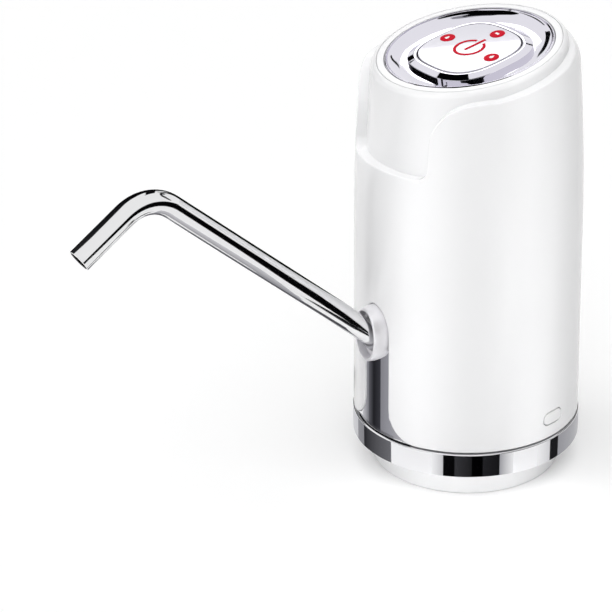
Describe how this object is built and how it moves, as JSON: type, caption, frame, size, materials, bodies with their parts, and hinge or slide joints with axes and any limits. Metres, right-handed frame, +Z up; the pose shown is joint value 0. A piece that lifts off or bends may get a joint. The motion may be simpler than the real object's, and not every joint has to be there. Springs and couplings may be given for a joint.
{
  "type": "electric water jug pump",
  "caption": "Battery water pump that sits on a large bottle's neck, with a push-button top, a swivelling steel spout and a chrome base ring.",
  "frame": {"origin": "centre of the collar's foot, on the axis of the bottle's neck", "axes": "+Z up along the bottle's axis, the spout points along -Y, +X to the right when looking along +Y"},
  "size_m": [0.08, 0.1932, 0.1583],
  "materials": {
    "white_abs": "glossy injection-moulded ABS",
    "chrome_plate": "chrome-plated ABS, mirror bright",
    "stainless_tube": "polished stainless steel tube",
    "satin_chrome": "pearl chrome plating",
    "grey_silicone": "matte silicone",
    "white_silicone": "satin silicone",
    "red_print": "red translucent print",
    "white_acrylic": "high-gloss acrylic",
    "circuit_board": "solder-masked board",
    "black_plastic": "moulded black plastic",
    "brass": "plain brass",
    "steel": "zinc-plated steel",
    "gear_nylon": "natural nylon",
    "pump_plastic": "grey moulded plastic",
    "magnet_ferrite": "ferrite",
    "armature_iron": "wound iron core",
    "cell_wrap": "cell in a blue shrink wrap",
    "wire_pvc": "wire insulation"
  },
  "bodies": {
    "housing": {"bottle_collar": "white_abs", "neck_seal": "grey_silicone", "base_ring": "chrome_plate", "base_plate": "white_abs", "base_screws": "steel", "outer_casing": "white_abs", "front_trim": "chrome_plate", "top_cap": "white_abs", "top_ring": "white_abs", "chrome_dish": "chrome_plate", "button_frame": "chrome_plate", "control_board": "circuit_board", "board_screws": "steel", "switch_body": "black_plastic", "indicator_leds": "white_acrylic", "spout_socket": "satin_chrome", "outlet_hose": "white_silicone", "charge_board": "circuit_board", "usb_socket": "steel", "pump_housing": "pump_plastic", "pump_cover": "pump_plastic", "pump_gasket": "grey_silicone", "pump_screws": "steel", "idler_pin": "steel", "shaft_seal": "grey_silicone", "motor_can": "steel", "motor_magnets": "magnet_ferrite", "motor_bushes": "brass", "motor_endcap": "black_plastic", "battery_cell": "cell_wrap", "battery_cradle": "black_plastic", "wiring": "wire_pvc"},
    "button": {"button_panel": "white_acrylic", "power_symbol": "red_print", "indicator_lenses": "red_print", "switch_plunger": "black_plastic"},
    "spout_swivel": {"spout_sleeve": "grey_silicone"},
    "spout": {"spout_tube": "stainless_tube"},
    "flap": {"charge_flap": "white_silicone"},
    "rotor": {"motor_shaft": "steel", "motor_armature": "armature_iron", "drive_gear": "gear_nylon"},
    "idler": {"idler_gear": "gear_nylon"}
  },
  "joints": [
    {"name": "button_press", "type": "slide", "parent": "housing", "child": "button", "axis": [0, 0.1908, -0.9816], "range_m": [0, 0.0006], "stiffness_N_per_m": 800, "springref_m": -0.0005},
    {"name": "spout_turn", "type": "hinge", "parent": "housing", "child": "spout_swivel", "pos_m": [0, -0.03944, 0.0563], "axis": [0, -0.7547, 0.6561], "continuous": true},
    {"name": "spout_pull", "type": "slide", "parent": "spout_swivel", "child": "spout", "axis": [0, -0.7547, 0.6561], "range_m": [0, 0.013]},
    {"name": "flap_open", "type": "hinge", "parent": "housing", "child": "flap", "pos_m": [0.0388, 0.00825, 0.02455], "axis": [-0.2079, 0.9781, 0], "range_deg": [0, 90]},
    {"name": "motor_spin", "type": "hinge", "parent": "housing", "child": "rotor", "pos_m": [-0.0066, -0.00425, 0.05], "axis": [0, 0, 1], "continuous": true},
    {"name": "idler_spin", "type": "hinge", "parent": "housing", "child": "idler", "pos_m": [0.0066, -0.00425, 0.033], "axis": [0, 0, 1], "continuous": true}
  ],
  "couplings": [
    {"joint": "idler_spin", "follows": "motor_spin", "ratio": -1}
  ]
}
